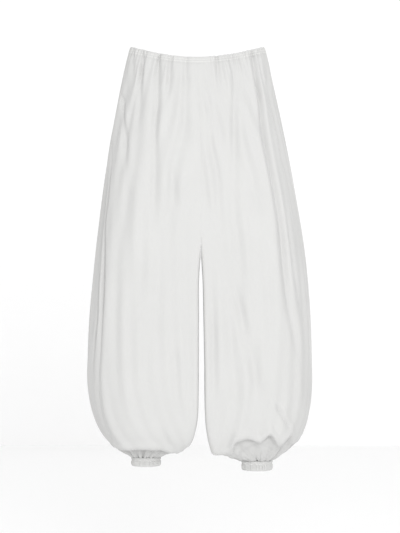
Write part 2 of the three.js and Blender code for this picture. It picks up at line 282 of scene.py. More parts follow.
FRONT_FOLDS = (
    Fold(((-151, -30), (-152, -66), (-155, -104)), 2.0, 6, 0.4),
    Fold(((-130, -30), (-133, -101), (-139, -171), (-142, -222)), 5.0, 7, 0.5),
    Fold(((-182, -84), (-176, -148), (-171, -204), (-167, -261), (-165, -335)), 4.2, 7, 0.4),
    Fold(((-164, -290), (-166, -350), (-171, -400), (-177, -460), (-184, -530)), 3.0, 12, 0.4),
    Fold(((-91, -30), (-93, -113), (-98, -194), (-99, -290), (-101, -390), (-106, -480), (-109, -560)),
         5.4, 10, 0.5),
    Fold(((-63, -48), (-70, -113), (-79, -188)), 2.6, 6, 0.6),
    Fold(((-66, -250), (-54, -340), (-40, -410), (-36, -490)), 1.5, 10, 0.4),
    Fold(((-26, -30), (-28, -136), (-30, -280)), 3.2, 8, 0.4),
    Fold(((-200, -190), (-210, -346), (-219, -420), (-221, -500), (-223, -578), (-227, -660), (-230, -741),
          (-231, -795), (-224, -862), (-210, -930)), 8.5, 6.5, 0.5, 10),
    Fold(((-228, -450), (-237, -578), (-240, -648), (-247, -700), (-250, -760), (-246, -850)), 6.0, 6, 0.6),
    Fold(((-107, -540), (-111, -640), (-118, -770), (-130, -905)), 2.6, 13, 0.4),
    Fold(((-52, -680), (-48, -770), (-43, -850), (-22, -910)), 2.6, 11, 0.5),
    Fold(((24, -50), (28, -159), (35, -245), (46, -310), (51, -392), (53, -460), (45, -530), (38, -610)),
         3.4, 9, 0.4),
    Fold(((47, -30), (50, -70), (54, -118)), 3.2, 5, 0.6),
    Fold(((88, -30), (88, -187), (87, -260), (91, -340), (98, -440)), 4.8, 9, 0.5),
    Fold(((99, -30), (100, -90), (98, -165)), 2.4, 6, 0.5),
    Fold(((133, -30), (149, -129), (158, -204), (170, -276), (184, -346), (197, -423), (206, -520),
          (212, -578), (222, -650), (234, -706), (244, -760), (258, -826)), 8.0, 8, 0.6, 6),
    Fold(((144, -30), (152, -72), (163, -118), (172, -160)), 4.6, 5, 0.6),
    Fold(((163, -54), (173, -115), (187, -173), (203, -247), (212, -320)), 7.2, 7, 0.6),
    Fold(((205, -350), (222, -470), (238, -580), (248, -680)), 3.0, 7, 0.5),
    Fold(((78, -520), (92, -590), (107, -650), (118, -705), (136, -788), (150, -836), (162, -880)),
         4.8, 12, 0.5),
    Fold(((76, -610), (82, -700), (86, -800), (80, -890)), 2.8, 11, 0.4),
    Fold(((181, -835), (201, -880), (222, -920)), 3.0, 5, 0.6),
    Fold(((36, -590), (37, -700), (39, -800), (45, -860), (58, -915)), 3.0, 10, 0.5),
)
BACK_FOLDS = (
    Fold(((-140, -30), (-150, -85), (-156, -150)), 3.2, 7, 0.6),
    Fold(((-118, -30), (-132, -160), (-150, -330), (-165, -480), (-173, -655)), 6.8, 10, 0.6),
    Fold(((-208, -310), (-220, -480), (-223, -620), (-216, -780), (-204, -915)), 7.5, 10, 0.6, 6),
    Fold(((-88, -34), (-92, -90), (-96, -160)), 2.8, 7, 0.5),
    Fold(((-62, -30), (-74, -200), (-88, -420), (-92, -640), (-96, -860)), 6.6, 10, 0.5),
    Fold(((-30, -34), (-34, -130), (-40, -260)), 3.0, 8, 0.5),
    Fold(((26, -30), (30, -110), (40, -225)), 3.0, 8, 0.5),
    Fold(((48, -30), (58, -190), (70, -380), (80, -560), (93, -770)), 6.4, 10, 0.5),
    Fold(((82, -32), (88, -90), (92, -150)), 2.8, 6, 0.6),
    Fold(((104, -30), (126, -200), (150, -420), (160, -640), (169, -890)), 6.8, 10, 0.6),
    Fold(((140, -34), (168, -210), (200, -400), (222, -600), (246, -830)), 8.5, 9, 0.7, 6),
    Fold(((-60, -790), (-48, -860), (-30, -930)), 4.5, 9, 0.6),
    Fold(((-150, -800), (-146, -870), (-140, -940)), 4.0, 9, 0.6),
    Fold(((60, -800), (72, -880), (84, -940)), 4.5, 9, 0.6),
    Fold(((214, -820), (204, -880), (192, -935)), 4.5, 9, 0.6),
)
FOLDS = {"front": FRONT_FOLDS, "back": BACK_FOLDS}
FOLD_SAMPLES = 60
FOLD_STRENGTH = 1.3
FOLD_GROWTH = (0.75, 1.3)  # shares of its width that a fold has at its top and its bottom
FOLD_FADES = (0.3, 0.45)  # shares of its height over which a fold starts and ends
FOLD_MARGIN = 40  # rows this far above and below a fold are still looked at
FOLD_REACH = 4  # how far beside a row a fold may run and still show on it
WAIST_FOLDS = -50.0  # folds that start above this height run on up over the casing
WAIST_RUN_UP = 50
WAIST_FADE = 45
DENT_FADE = (30, 140)
SWELL_PLACE, SWELL_WIDTH, SWELL_HEIGHT = 2.1, 1.25, 0.42  # of a swell beside a crease, in the crease's sizes


class Gather(NamedTuple):
    """A kind of small gather: its depth, its width and how far it runs from its edge."""
    depth: float
    width: float
    length: float


WAIST_FINE, WAIST_BROAD = Gather(2.0, 2.3, 150), Gather(2.6, 4.6, 380)
ANKLE_FINE, ANKLE_BROAD = Gather(3.0, 1.7, 130), Gather(4.2, 2.6, 230)
GATHER_SWELL = 0.8
DRAPE_WAVES = (34.0, 47.0, 61.0, 83.0)  # distances from one swell to the next
WAIST_QUARTER = 205.0  # the length of waist edge over which a panel's gathers are spread
FLAT_FROM, FLAT_TO = -50.0, 27.0  # the flat stretch at the front of the waist
FLAT_SHARE = 0.1  # how much of the gathers is left on it
FLAT_DOWN = (14, 60)  # it ends between these distances below the waist edge


def smooth_path(path):
    """Points on a smooth curve through a fold's path, as (x, z) columns from its top to its bottom."""
    points = np.array(path, float)
    fine = np.linspace(0, len(points) - 1, FOLD_SAMPLES)
    i = np.clip(fine.astype(int), 0, len(points) - 2)
    tangents = np.gradient(points, axis=0)
    curve = hermite((fine - i)[:, None], points[i], points[i + 1], tangents[i], tangents[i + 1])
    return curve[:, 0], curve[:, 1]


def trough(distance, width, swell):
    """The section of a crease: a soft trough with a low swell on each side."""
    side = (np.abs(distance) - SWELL_PLACE * width) / (SWELL_WIDTH * width)
    return -np.exp(-((distance / width) ** 2)) + swell * SWELL_HEIGHT * np.exp(-(side**2))


def fold_relief(grid, around, folds):
    """How far the folds move each point of a panel. around is each point's distance along its row."""
    x, z = grid[..., 0], grid[..., 2]
    row_z = z.mean(axis=1)
    total = np.zeros(x.shape)
    for fold in folds:
        path_x, path_z = smooth_path(fold.path)
        from_waist = path_z[0] > WAIST_FOLDS
        top, bottom = path_z[0] + (WAIST_RUN_UP if from_waist else 0), path_z[-1]
        fade_in = WAIST_FADE if from_waist else FOLD_FADES[0] * (top - bottom)
        fade_out = FOLD_FADES[1] * (top - bottom)
        for i in np.where((row_z < top + FOLD_MARGIN) & (row_z > bottom - FOLD_MARGIN))[0]:
            order = np.argsort(x[i])
            spot = np.interp(-row_z[i], -path_z, path_x)
            if not x[i].min() - FOLD_REACH < spot < x[i].max() + FOLD_REACH:
                continue
            at = np.interp(spot, x[i][order], around[i][order])
            fade = smooth(top - z[i], 0, fade_in) * smooth(z[i] - bottom, 0, fade_out)
            width = fold.width * lerp(*FOLD_GROWTH, np.clip((top - z[i]) / (top - bottom), 0, 1))
            total[i] += FOLD_STRENGTH * fold.depth * fade * trough(around[i] - at, width, fold.swell)
            dent = fold.beyond * fade * smooth(-z[i], *DENT_FADE)
            total[i] -= dent * np.sin(math.pi * np.clip(around[i] / max(at, 1), 0, 1))
    return total


def gathers(distance, along, count, span, seed, kind):
    """Uneven small gathers that start on an edge: distance runs along the edge, and along away from it."""
    rng = np.random.default_rng(seed)
    pitch = span / count
    total = np.zeros(np.broadcast(distance, along).shape)
    for k in range(count):
        at = (k + 0.5 + rng.uniform(-0.36, 0.36)) * pitch
        reach = kind.length * rng.uniform(0.35, 1.0) ** 1.5
        lean = rng.normal(0, 0.05)
        size = kind.depth * rng.uniform(0.45, 1.15)
        broad = kind.width * rng.uniform(0.75, 1.3)
        fade = (1 - smooth(along, 0.25 * reach, reach)) * smooth(along, -8, 8)
        spread = broad * (1 + 0.9 * np.clip(along / reach, 0, 1))
        total += size * fade * trough(distance - at - lean * along, spread, GATHER_SWELL)
    return total


def panel_seed(leg, face):
    """The first seed of a panel's own random draws."""
    return 10 * (leg.side + 2) + (face.way + 2)


def beside_flat(x, before, after):
    """0 on the flat stretch of the waist and 1 beside it, for places x across the front."""
    middle, half = (FLAT_FROM + FLAT_TO) / 2, (FLAT_TO - FLAT_FROM) / 2
    return smooth(np.abs(x - middle), half - before, half + after)


def waist_gathers(grid, u, below, leg, face, sizes):
    """The small gathers at the waist of a panel, on the casing and down from it.

    u is the share of the panel's width and below the distance from the waist edge.
    """
    flat = 1.0
    if face.name == "front":
        flat = lerp(FLAT_SHARE, 1, beside_flat(grid[:1, :, 0], 6, 14))
        flat = lerp(flat, 1, smooth(below, *FLAT_DOWN))
    place, count, seed = u * WAIST_QUARTER, sizes.waist_gathers, panel_seed(leg, face)
    return flat * (
        gathers(place, below, count, WAIST_QUARTER, seed, WAIST_FINE)
        + gathers(place, below, count // 2, WAIST_QUARTER, seed + 1, WAIST_BROAD))


def drape(distance, along, seed, size):
    """Low uneven swells that run down the cloth."""
    rng = np.random.default_rng(seed)
    total = np.zeros(distance.shape)
    for wave in DRAPE_WAVES:
        lean, phase = rng.normal(0, 0.05), rng.uniform(0, 2 * math.pi)
        swing = rng.uniform(190, 330)
        turn = rng.uniform(0, 2 * math.pi)
        place = distance + lean * along + 9 * np.sin(along / swing + turn)
        total += np.sin(2 * math.pi * place / wave + phase)
    return size * total / 2


# Meshes

SHARP_ANGLE = math.radians(60)
TURN_STEPS = (0.35, 1.0)  # shares of the seam allowance at which its two rows lie


def make_mesh(name, points, faces):
    """An object from points in millimetres and faces, smooth shaded."""
    mesh = bpy.data.meshes.new(name)
    mesh.from_pydata((np.asarray(points) * MM).tolist(), [], faces)
    mesh.validate()
    mesh.polygons.foreach_set("use_smooth", np.ones(len(mesh.polygons), bool))
    mesh.set_sharp_from_angle(angle=SHARP_ANGLE)
    mesh.update()
    piece = bpy.data.objects.new(name, mesh)
    bpy.context.scene.collection.objects.link(piece)
    return piece


def sheet_mesh(name, outer, inner, crotch_row, seam_column):
    """A closed thin sheet between two grids, with a UV map in metres of cloth for its weave.

    Above the crotch row the cloth ends at the seam column, where the points beyond it lie, except for the
    allowance.
    """
    rows, columns = outer.shape[:2]
    index = np.arange(rows * columns).reshape(rows, columns)
    index[:crotch_row, seam_column + 1:-2] = index[:crotch_row, seam_column:seam_column + 1]
    quads = np.stack([index[:-1, :-1], index[1:, :-1], index[1:, 1:], index[:-1, 1:]], axis=2)
    kept = np.ones(quads.shape[:2], bool)
    kept[:crotch_row - 1, seam_column:-2] = False
    kept[crotch_row - 1, seam_column:] = False
    quads = quads[kept]
    start, end = quads.ravel(), np.roll(quads, -1, axis=1).ravel()
    layer = rows * columns
    rim = ~np.isin(start * layer + end, end * layer + start)
    rims = np.stack([end[rim], start[rim], start[rim] + layer, end[rim] + layer], axis=1)
    faces = np.concatenate([quads, quads[:, ::-1] + layer, rims])
    used, faces = np.unique(faces, return_inverse=True)
    points = np.concatenate([outer.reshape(-1, 3), inner.reshape(-1, 3)])
    piece = make_mesh(name, points[used], faces.reshape(-1, 4).tolist())
    cloth = np.stack([travelled(outer, 1), travelled(outer, 0)], axis=2).reshape(-1, 2) * MM
    add_cloth_map(piece, np.concatenate([cloth, cloth])[used])
    return piece


def add_cloth_map(piece, cloth):
    """Writes a UV map from each point's place on the flat cloth, in metres."""
    layer = piece.data.uv_layers.new(name="Cloth")
    corners = np.empty(len(piece.data.loops), np.int32)
    piece.data.loops.foreach_get("vertex_index", corners)
    layer.data.foreach_set("uv", np.asarray(cloth, np.float32)[corners].ravel())


def turned_in(grid, normals, allowance):
    """The grid with the cloth's edges turned in behind it on all four sides."""
    def behind(points, out):
        return [points - out * allowance * step for step in TURN_STEPS]
    top, bottom = behind(grid[0], normals[0]), behind(grid[-1], normals[-1])
    grid = np.concatenate([[top[1], top[0]], grid, [bottom[0], bottom[1]]])
    normals = np.concatenate([[normals[0]] * 2, normals, [normals[-1]] * 2])
    left, right = behind(grid[:, 0], normals[:, 0]), behind(grid[:, -1], normals[:, -1])
    return np.concatenate([
        np.stack([left[1], left[0]], axis=1), grid, np.stack([right[0], right[1]], axis=1)], axis=1)


def panel_outward(grid, crotch_row, seam_column, leg, face):
    """Unit directions out of a panel's grid. Along the seams they stay in the seams' own planes."""
    normals = np.empty_like(grid)
    upper = outward(grid[:, :seam_column + 1], leg, face)
    normals[crotch_row:] = outward(grid[crotch_row:], leg, face)
    normals[:crotch_row + 1, :seam_column] = upper[:crotch_row + 1, :-1]
    normals[:crotch_row, seam_column:] = upper[:crotch_row, -1:]
    normals[:, 0, 1] = 0
    normals[crotch_row:, -1, 1] = 0
    normals[:crotch_row, seam_column:, 0] = 0
    saddle = normals[crotch_row, seam_column:, 0]
    normals[crotch_row, seam_column:, 0] = leg.side * np.minimum(0, leg.side * saddle)
    return normals / np.maximum(np.linalg.norm(normals, axis=2, keepdims=True), 1e-9)


class Puff(NamedTuple):
    """A bulge of slack cloth over the cuff: its place across the panel and down the foot, and its size."""
    at: float
    down: float
    width: float
    depth: float


PUFFS = {
    ("right", "front"): (Puff(0.3, 0.45, 0.16, 3), Puff(0.62, 0.5, 0.14, 3), Puff(0.84, 0.55, 0.08, 3)),
    ("left", "front"): (Puff(0.16, 0.5, 0.06, 6), Puff(0.33, 0.58, 0.07, 8), Puff(0.52, 0.55, 0.08, 7),
                        Puff(0.72, 0.6, 0.07, 8), Puff(0.88, 0.55, 0.06, 5)),
    ("right", "back"): (Puff(0.2, 0.5, 0.09, 5), Puff(0.45, 0.55, 0.1, 6), Puff(0.74, 0.5, 0.1, 5)),
    ("left", "back"): (Puff(0.24, 0.55, 0.08, 6), Puff(0.5, 0.5, 0.1, 5), Puff(0.78, 0.55, 0.08, 6)),
}


class Lip(NamedTuple):
    """A point of the edge that slack cloth hangs over above a cuff.

    at and down are its shares across the panel and down the foot. The cloth under the edge lies in by depth,
    so that it is in shadow.
    """
    at: float
    down: float
    depth: float


LIPS = {
    ("right", "front"): (
        Lip(0, 0.78, 2), Lip(0.14, 0.77, 3), Lip(0.25, 0.73, 15), Lip(0.5, 0.72, 18), Lip(0.68, 0.73, 14),
        Lip(0.75, 0.77, 4), Lip(0.86, 0.76, 1), Lip(1, 0.76, 0)),
    ("left", "front"): (
        Lip(0, 0.72, 3), Lip(0.12, 0.62, 7), Lip(0.2, 0.68, 6), Lip(0.26, 0.55, 14), Lip(0.33, 0.66, 12),
        Lip(0.38, 0.53, 21), Lip(0.435, 0.62, 16), Lip(0.5, 0.56, 22), Lip(0.57, 0.58, 20), Lip(0.62, 0.7, 8),
        Lip(0.72, 0.64, 7), Lip(0.84, 0.72, 1), Lip(1, 0.72, 0)),
    ("right", "back"): (
        Lip(0, 0.76, 1), Lip(0.2, 0.66, 8), Lip(0.3, 0.72, 6), Lip(0.42, 0.6, 13), Lip(0.52, 0.7, 9),
        Lip(0.62, 0.62, 13), Lip(0.74, 0.74, 4), Lip(0.86, 0.76, 1), Lip(1, 0.76, 0)),
    ("left", "back"): (
        Lip(0, 0.7, 1), Lip(0.2, 0.72, 6), Lip(0.34, 0.62, 13), Lip(0.48, 0.64, 14), Lip(0.58, 0.72, 7),
        Lip(0.7, 0.62, 10), Lip(0.84, 0.72, 1), Lip(1, 0.72, 0)),
}


LIP_STEPS = 200
LIP_ROUNDING = 9  # steps over which the corners of an edge are rounded
LIP_FULLNESS = 0.3  # how far the edge itself stands out, as a share of the depth under it
LIP_ABOVE, LIP_HEIGHT = 0.03, 0.045  # where it does, in shares of the foot
LIP_UNDER = (-0.005, 0.055)  # shares of the foot below the edge over which the cloth goes in
LIP_BACK = 0.14  # and where it starts to come back


def overhang(u, foot, lips):
    """The slack cloth over a cuff: a full edge, and the cloth below it lying in."""
    share = np.clip(u, 0, 1)[0]
    places = [lip.at for lip in lips]
    fine = np.linspace(0, 1, LIP_STEPS + 1)
    kernel = np.hanning(LIP_ROUNDING) / np.hanning(LIP_ROUNDING).sum()

    def rounded(values):
        line = np.pad(np.interp(fine, places, values), LIP_ROUNDING // 2, mode="edge")
        return np.interp(share, fine, np.convolve(line, kernel, mode="valid"))[None, :]

    edge, depth = rounded([lip.down for lip in lips]), rounded([lip.depth for lip in lips])
    full = LIP_FULLNESS * np.exp(-(((foot - edge + LIP_ABOVE) / LIP_HEIGHT) ** 2))
    return depth * (full - smooth(foot - edge, *LIP_UNDER) * (1 - smooth(foot, edge + LIP_BACK, 1.0)))


SEAM_CALM = (-2, 16)  # the relief dies out between these distances from a seam
CROTCH_CALM = (5, 90)  # and between these from the crotch
BETWEEN_LEGS = (9, 34)  # and between these from the middle, where the legs face each other,
BETWEEN_SHARE = 0.06  # down to this share of it
BETWEEN_DOWN = (350, 470)
LEVEL_DOWN = 50  # over this distance from the waist seam the relief turns from level to square on the cloth
PUFF_HEIGHT = 0.2
DRAPE_DOWN = (20, 120)
DRAPE_FOOT = (0.3, 0.9)  # shares of the foot over which the swells grow lower
DRAPE_LOSS = 0.7
PUCKER, PUCKER_REACH, PUCKER_PITCH, PUCKER_SWING = 0.22, 5, 2.3, 17  # the small waves beside a stitched seam
SEAM_DIP, SEAM_DIP_REACH = 0.5, 2.8
SEAM_DOWN = (2, 25)
SEAM_CROTCH = (5, 60)
HEM_DIP, HEM_DIP_REACH = 0.5, 9


def seam_calm(around):
    """The share of its relief that a point keeps beside the seams. around is its distance along its row."""
    return smooth(np.minimum(around, around[:, -1:] - around), *SEAM_CALM)


def panel_surface(leg, face, sizes):
    """The outside of a panel with its gathers, folds and puckered seams, and the directions out of it."""
    crotch_row, seam_column = sizes.above_rows, round(sizes.columns * FACE_SHARE)
    form = panel_form(
        crotch_row, sizes.below_rows, sizes.foot_rows, seam_column, sizes.columns - seam_column, leg, face)
    around, down = travelled(form, 1), travelled(form, 0)
    normals = panel_outward(form, crotch_row, seam_column, leg, face)
    normals[..., 2] *= smooth(down, 0, LEVEL_DOWN)
    normals /= np.linalg.norm(normals, axis=2, keepdims=True)
    u = np.linspace(0, 1, form.shape[1])[None, :]
    foot = np.clip((np.arange(len(form)) - crotch_row - sizes.below_rows) / sizes.foot_rows, 0, 1)[:, None]
    seed = panel_seed(leg, face)
    to_seam = np.minimum(around, around[:, -1:] - around)
    from_crotch = np.hypot(form[..., 0] - size_at("centre", CROTCH), form[..., 2] - CROTCH)
    from_centre = np.abs(form[..., 0] - size_at("centre", form[..., 2]))
    between = lerp(BETWEEN_SHARE, 1, smooth(from_centre, *BETWEEN_LEGS))
    calm = (seam_calm(around) * smooth(from_crotch, *CROTCH_CALM)
            * lerp(1, between, smooth(-form[..., 2], *BETWEEN_DOWN)))

    waist = waist_gathers(form, around[:1] / around[0, -1], down + CASING_HEIGHT + SEAM_GAP, leg, face, sizes)
    ankle_width = math.pi * leg.ankle
    place, up = u * ankle_width, down[-1:] - down
    ankle = (
        gathers(place, up, sizes.ankle_gathers, ankle_width, seed + 2, ANKLE_FINE)
        + gathers(place, up, sizes.ankle_gathers // 2, ankle_width, seed + 3, ANKLE_BROAD))
    puff = sum(
        p.depth * np.exp(-(((u - p.at) / p.width) ** 2)) * np.exp(-(((foot - p.down) / PUFF_HEIGHT) ** 2))
        for p in PUFFS[leg.name, face.name])
    swell = (drape(around, down, seed + 4, sizes.drape / MM) * smooth(down, *DRAPE_DOWN)
             * (1 - DRAPE_LOSS * smooth(foot, *DRAPE_FOOT)))
    waves = np.sin(down / PUCKER_PITCH + 2 * np.sin(down / PUCKER_SWING))
    pucker = PUCKER * np.exp(-to_seam / PUCKER_REACH) * waves
    seam_dip = -SEAM_DIP * np.exp(-((to_seam / SEAM_DIP_REACH) ** 2))
    relief = calm * (waist + ankle + puff + swell + fold_relief(form, around, FOLDS[face.name])
                     + overhang(u, foot, LIPS[leg.name, face.name]))
    relief = relief + (pucker + seam_dip) * smooth(down, *SEAM_DOWN) * smooth(from_crotch, *SEAM_CROTCH)
    relief = relief - HEM_DIP * (1 - smooth(down, 0, HEM_DIP_REACH))
    surface = form + normals * relief[..., None]
    return surface, panel_outward(surface, crotch_row, seam_column, leg, face), crotch_row, seam_column


def waist_ring(quarters):
    """Joins a row or column of values from each of the four panels into the ring round the waist."""
    left_front, right_front, right_back, left_back = quarters
    return np.concatenate([left_front[:-1], right_front[::-1][:-1], right_back[:-1], left_back[::-1][:-1]])


def ring_outward(ring):
    """Level unit directions out of a closed ring that runs clockwise seen from above."""
    along = np.roll(ring, -1, axis=0) - np.roll(ring, 1, axis=0)
    out = np.stack([-along[:, 1], along[:, 0], np.zeros(len(ring))], axis=1)
    centre = ring.mean(axis=0)
    out *= np.sign(((ring - centre) * out).sum(axis=1, keepdims=True))
    return out / np.linalg.norm(out, axis=1, keepdims=True)


def ripple(length, count, seed):
    """Uneven gathers round a closed band, from -1 to 1, for points evenly spaced round it."""
    rng = np.random.default_rng(seed)
    steps = rng.uniform(0.55, 1.45, count)
    edges = np.concatenate([[0], np.cumsum(steps)]) / steps.sum()
    heights = rng.uniform(0.5, 1.0, count)
    spot = np.arange(length) / length
    i = np.clip(np.searchsorted(edges, spot, side="right") - 1, 0, count - 1)
    t = (spot - edges[i]) / (edges[i + 1] - edges[i])
    return heights[i] * np.sin(math.pi * t) ** 0.8 * 2 - 1


def tube_faces(rings, count):
    """Quads of a closed band whose section runs through the rings in order and back to the first."""
    k, j = np.meshgrid(np.arange(rings), np.arange(count), indexing="ij")
    a = (k * count + j).ravel()
    b = (k * count + (j + 1) % count).ravel()
    c = ((k + 1) % rings * count + (j + 1) % count).ravel()
    d = ((k + 1) % rings * count + j).ravel()
    return np.stack([a, b, c, d], axis=1)


def band_mesh(name, rings):
    """A closed band from rings round its section, with a UV map in metres of cloth."""
    rings = np.asarray(rings)
    count = rings.shape[1]
    piece = make_mesh(name, rings.reshape(-1, 3), tube_faces(len(rings), count).tolist())
    step = travelled(rings[0], 0)[-1] / (count - 1)
    down = travelled(rings[:, 0], 0)
    across, along = np.meshgrid(np.arange(count) * step, down)
    add_cloth_map(piece, np.stack([across, along], axis=2).reshape(-1, 2) * MM)
    normals_out(piece)
    return piece


def normals_out(piece):
    """Turns a closed mesh's faces out if they came out inside out."""
    mesh = piece.data
    mesh.calc_loop_triangles()
    points = np.empty(len(mesh.vertices) * 3)
    mesh.vertices.foreach_get("co", points)
    points = points.reshape(-1, 3)
    corners = np.empty(len(mesh.loop_triangles) * 3, np.int32)
    mesh.loop_triangles.foreach_get("vertices", corners)
    a, b, c = (points[corners.reshape(-1, 3)[:, k]] for k in range(3))
    if (a * np.cross(b, c)).sum() < 0:
        mesh.flip_normals()


CASING_ROWS = 29
CASING_INSIDE_ROWS = 12
WAIST_STITCHES = (6.2, 11.8)  # how far below the waist edge the two rows of stitches run
CHANNEL_DEPTH, CHANNEL_PITCH = 0.3, 6.0  # the casing is a little fuller between its rows of stitches
CASING_TUCK, CASING_TUCK_FROM = 0.35, 12
SCALLOP_OUT, SCALLOP_OUT_DOWN = 0.5, 8
SCALLOP_UP, SCALLOP_UP_DOWN = 0.9, 5
SCALLOP_SEED = 7
EDGE_ROUND, HEM_ROUND = 0.7, 0.1

CUFF_ROWS = 30
CUFF_INSIDE_ROWS = 8
CUFF_SEED = 20
RIM_BULGE, CASING_BULGE, CUFF_TUCK = 1.8, 1.6, 0.4  # how far a cuff's rolls stand out and its seams lie in
RIM_WAVE, HEM_WAVE, INSIDE_WAVE = 0.5, 0.3, 0.4
CUFF_WAVE, CUFF_FINE_WAVE = 1.3, 0.6

STITCH_PITCH, STITCH_LENGTH, STITCH_RADIUS, STITCH_SUNK = 3.4, 2.6, 0.32, 0.05
STITCH_SIDES = 6
STITCH_SPOTS = np.array([0, 0.15, 0.5, 0.85, 1])  # places along a stitch
STITCH_DIPS = np.array([1.2, 0.3, 0, 0.3, 1.2])  # how far it dips there, in its radii
STITCH_GIRTHS = (0.35, 0.9, 1, 0.9, 0.35)


def waistband_rings(sizes):
    """The rings of the waist casing's section: down the outside, round the hem, up the inside, over the top.

    The panels' gathers and folds run on up the casing, and its edge is a little scalloped by them.
    """
    right, left = LEGS
    front, back = FACES
    samples = sizes.band_columns // 4
    wall, height = sizes.casing_wall / MM, CASING_HEIGHT + sizes.casing_lap / MM
    below = np.linspace(0, height, CASING_ROWS)
    grids, reliefs = [], []
    for leg, face in ((left, front), (right, front), (right, back), (left, back)):
        grid = panel_rows(-below, samples, 1, leg, face)[:, :samples + 1]
        around = travelled(grid, 1)
        gathered = waist_gathers(grid, around / around[:, -1:], below[:, None], leg, face, sizes)
        grids.append(grid)
        reliefs.append(seam_calm(around) * (gathered + fold_relief(grid, around, FOLDS[face.name])))
    rings = [waist_ring([grid[k] for grid in grids]) for k in range(CASING_ROWS)]
    relief = [waist_ring([values[k] for values in reliefs]) for k in range(CASING_ROWS)]
    base = rings[0]
    out = ring_outward(base)
    wavy = np.where(base[:, 1] < 0, beside_flat(base[:, 0], 4, 10), 1.0)
    scallop = wavy * ripple(len(base), sizes.waist_band_gathers, SCALLOP_SEED)
    for k, depth in enumerate(below):
        channel = CHANNEL_DEPTH * abs(math.sin(math.pi * depth / CHANNEL_PITCH))
        channel -= CASING_TUCK * smooth(depth, CASING_TUCK_FROM, height)
        edge = SCALLOP_OUT * scallop * (1 - smooth(depth, SCALLOP_OUT_DOWN, height))
        rings[k] = rings[k] + out * (channel + relief[k] + edge)[:, None]
        rings[k][:, 2] += SCALLOP_UP * scallop * (1 - smooth(depth, 0, SCALLOP_UP_DOWN))
    outer = list(rings)
    rings.append(outer[-1] - out * wall * 0.5 - np.array([0, 0, HEM_ROUND]))
    for k in np.linspace(CASING_ROWS - 1, 0, CASING_INSIDE_ROWS).astype(int):
        rings.append(outer[k] - out * wall)
    rings.append((outer[0] + rings[-1]) / 2 + np.array([0, 0, EDGE_ROUND]))
    return np.array(rings)


def cuff_rings(leg, sizes):
    """The rings of an ankle cuff's section: a rolled rim under the seam, and a gathered casing below it."""
    count, wall, rim = sizes.cuff_columns, sizes.casing_wall / MM, sizes.cuff_rim / MM
    angle = 2 * math.pi * np.arange(count) / count
    seed = CUFF_SEED + leg.side
    wave = ripple(count, sizes.cuff_gathers, seed)
    fine = ripple(count, sizes.cuff_gathers * 2, seed + 5)
    top = leg.cuff_top - SEAM_GAP
    height = top - leg.cuff_foot
    out = np.stack([np.cos(angle), np.sin(angle), np.zeros(count)], axis=1)
    centre = np.array([leg.ankle_x, 0, 0])

    def ring(below, radius):
        return centre + out * np.asarray(radius)[..., None] + np.array([0, 0, top - below])

    rings = []
    for below in np.linspace(0, height, CUFF_ROWS):
        if below < rim:
            bulge = RIM_BULGE * math.sin(math.pi * below / rim) ** 0.7
            waves = RIM_WAVE * wave
        else:
            t = (below - rim) / (height - rim)
            bulge = CASING_BULGE * math.sin(math.pi * t) ** 0.6
            waves = (CUFF_WAVE * wave + CUFF_FINE_WAVE * fine) * math.sin(math.pi * min(1, t * 1.1)) ** 0.5
        rings.append(ring(below, leg.ankle + bulge - CUFF_TUCK + waves))
    rings.append(ring(height + HEM_ROUND, leg.ankle - wall * 0.5 + HEM_WAVE * wave))
    for below in np.linspace(height, 0, CUFF_INSIDE_ROWS):
        rings.append(ring(below, leg.ankle - wall + INSIDE_WAVE * wave))
    return np.array(rings)


def stitches(name, rows):
    """Small thread capsules laid end to end along closed rings of points, each half sunk in the cloth."""
    points, faces = [], []
    for ring in rows:
        closed, closed_out = (np.concatenate([line, line[:1]]) for line in (ring, ring_outward(ring)))
        along = travelled(closed, 0)
        count = int(along[-1] // STITCH_PITCH)
        for k in range(count):
            spots = (k + STITCH_SPOTS * STITCH_LENGTH / STITCH_PITCH) * along[-1] / count
            middle, away = (np.stack([np.interp(spots, along, line[:, a]) for a in range(3)], axis=1)
                            for line in (closed, closed_out))
            middle = middle - away * (STITCH_SUNK + STITCH_RADIUS * STITCH_DIPS)[:, None]
            start = len(points)
            for spot, direction, girth in zip(middle, away, STITCH_GIRTHS):
                for s in range(STITCH_SIDES):
                    turn = 2 * math.pi * s / STITCH_SIDES
                    points.append(spot + STITCH_RADIUS * girth * (
                        math.cos(turn) * direction + math.sin(turn) * np.array([0, 0, 1])))
            end = len(points) - STITCH_SIDES
            for first in range(start, end, STITCH_SIDES):
                for s in range(STITCH_SIDES):
                    a, b = first + s, first + (s + 1) % STITCH_SIDES
                    faces.append((a, b, b + STITCH_SIDES, a + STITCH_SIDES))
            faces.append(tuple(start + s for s in range(STITCH_SIDES))[::-1])
            faces.append(tuple(end + s for s in range(STITCH_SIDES)))
    piece = make_mesh(name, np.array(points), faces)
    normals_out(piece)
    return piece


# Materials

def linear(code):
    """A colour from its sRGB hex code to the linear values that a shader reads."""
    values = [int(code[i:i + 2], 16) / 255 for i in (1, 3, 5)]
    return tuple(v / 12.92 if v <= 0.04045 else ((v + 0.055) / 1.055) ** 2.4 for v in values) + (1.0,)


def node(tree, kind, settings=None, links=None):
    """Adds a node to a material with its settings and links, and returns it."""
    made = tree.nodes.new(kind)
    for key, value in (settings or {}).items():
        if isinstance(key, str) and hasattr(made, key):
            setattr(made, key, value)
        else:
            made.inputs[key].default_value = value
    for key, socket in (links or {}).items():
        tree.links.new(socket, made.inputs[key])
    return made


CLOUDS_MM = 90.9
CRUMPLE_DEPTH, WEAVE_DEPTH = 1.2 * MM, 0.2 * MM
WEAVE_STRENGTH = 0.12


